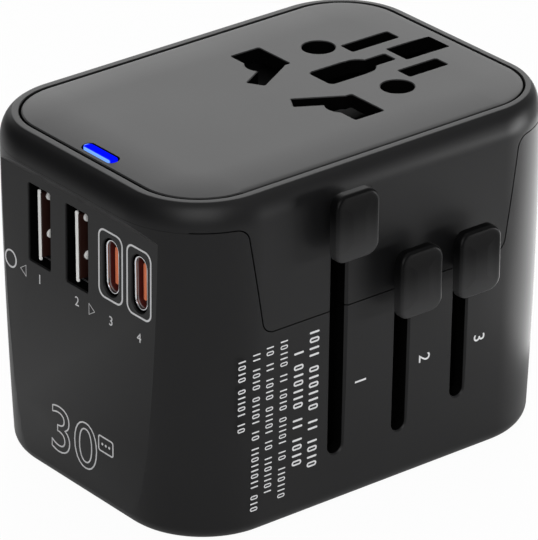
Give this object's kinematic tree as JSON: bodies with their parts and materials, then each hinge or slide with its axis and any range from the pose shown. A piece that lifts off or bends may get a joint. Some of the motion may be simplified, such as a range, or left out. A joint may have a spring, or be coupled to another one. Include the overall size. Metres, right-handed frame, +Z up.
{
  "type": "universal travel adapter",
  "caption": "Box-shaped travel adapter with a universal socket on top, charging ports on one end and sliders that push out folding-away plug pins",
  "frame": {"origin": "middle of the foot, on the surface that the adapter stands on", "axes": "+Z up through the socket face, -X towards the charging ports, -Y towards the sliders"},
  "size_m": [0.0758, 0.0596, 0.056],
  "materials": {
    "casing_black": "fine satin grain, flame retardant polycarbonate",
    "plate_black": "fine satin grain, slightly smoother than the casing",
    "frame_black": "plain moulded, matt",
    "button_black": "smooth satin",
    "earth_plastic": "plain moulded, matt",
    "light_blue": "translucent, lit from below",
    "contact_brass": "stamped sheet",
    "pin_brass": "satin, lightly brushed",
    "pin_nickel": "nickel plated, satin",
    "spring_steel": "drawn wire and plated screws",
    "port_steel": "tinned sheet",
    "tongue_dark": "moulded",
    "tongue_orange": "moulded",
    "board_green": "solder mask",
    "lamp_white": "lamp package",
    "ferrite_grey": "sintered, dull",
    "winding_copper": "enamelled wire under tape",
    "capacitor_can": "sleeved can",
    "chip_black": "moulded package",
    "fuse_ceramic": "glazed tube",
    "lead_brown": "insulated wire",
    "lead_blue": "insulated wire"
  },
  "bodies": {
    "casing": {"lower_housing": "casing_black", "upper_cap": "casing_black", "socket_plate": "plate_black", "led_bar": "light_blue", "inner_frame": "frame_black", "contact_housing": "frame_black", "shutter_spring": "spring_steel", "line_contact": "contact_brass", "neutral_contact": "contact_brass", "usb_a_shell_1": "port_steel", "usb_a_shell_2": "port_steel", "usb_a_tongue_1": "tongue_dark", "usb_a_tongue_2": "tongue_dark", "usb_c_shell_1": "port_steel", "usb_c_shell_2": "port_steel", "usb_c_tongue_1": "tongue_orange", "usb_c_tongue_2": "tongue_orange", "main_board": "board_green", "port_board": "board_green", "led_board": "board_green", "led_chip": "lamp_white", "transformer_core": "ferrite_grey", "transformer_winding": "winding_copper", "bulk_capacitor": "capacitor_can", "filter_capacitor": "capacitor_can", "output_capacitor": "capacitor_can", "choke": "ferrite_grey", "power_chip": "chip_black", "fuse": "fuse_ceramic", "line_lead": "lead_brown", "neutral_lead": "lead_blue", "screw_1": "spring_steel", "screw_2": "spring_steel", "screw_3": "spring_steel", "screw_4": "spring_steel"},
    "eu_module": {"eu_carriage": "frame_black", "eu_line_pin": "pin_nickel", "eu_neutral_pin": "pin_nickel", "eu_button_spring": "spring_steel"},
    "eu_button": {"eu_button": "button_black"},
    "uk_module": {"uk_carriage": "frame_black", "uk_line_pin": "pin_brass", "uk_neutral_pin": "pin_brass", "uk_earth_pin": "earth_plastic", "uk_button_spring": "spring_steel"},
    "uk_button": {"uk_button": "button_black"},
    "us_module": {"us_carriage": "frame_black", "us_button_spring": "spring_steel"},
    "us_button": {"us_button": "button_black"},
    "us_line_blade": {"us_line_turret": "frame_black", "us_line_blade": "pin_brass"},
    "us_neutral_blade": {"us_neutral_turret": "frame_black", "us_neutral_blade": "pin_brass"},
    "shutter": {"shutter": "frame_black"}
  },
  "joints": [
    {"name": "eu_slide", "type": "slide", "parent": "casing", "child": "eu_module", "axis": [0, 0, -1], "range_m": [0, 0.0368]},
    {"name": "eu_press", "type": "slide", "parent": "eu_module", "child": "eu_button", "axis": [0, 1, 0], "range_m": [0, 0.001], "stiffness_N_per_m": 300, "deforming": ["eu_button_spring"]},
    {"name": "uk_slide", "type": "slide", "parent": "casing", "child": "uk_module", "axis": [0, 0, -1], "range_m": [0, 0.0241]},
    {"name": "uk_press", "type": "slide", "parent": "uk_module", "child": "uk_button", "axis": [0, 1, 0], "range_m": [0, 0.001], "stiffness_N_per_m": 300, "deforming": ["uk_button_spring"]},
    {"name": "us_slide", "type": "slide", "parent": "casing", "child": "us_module", "axis": [0, 0, -1], "range_m": [0, 0.0218]},
    {"name": "us_press", "type": "slide", "parent": "us_module", "child": "us_button", "axis": [0, 1, 0], "range_m": [0, 0.001], "stiffness_N_per_m": 300, "deforming": ["us_button_spring"]},
    {"name": "us_line_turn", "type": "hinge", "parent": "us_module", "child": "us_line_blade", "pos_m": [0.01465, -0.00635, 0.0246], "axis": [0, 0, 1], "range_deg": [-30, 0]},
    {"name": "us_neutral_turn", "type": "hinge", "parent": "us_module", "child": "us_neutral_blade", "pos_m": [0.01465, 0.00635, 0.0246], "axis": [0, 0, 1], "range_deg": [0, 30]},
    {"name": "shutter_slide", "type": "slide", "parent": "casing", "child": "shutter", "axis": [1, 0, 0], "range_m": [0, 0.0055], "stiffness_N_per_m": 60, "deforming": ["shutter_spring"]}
  ]
}
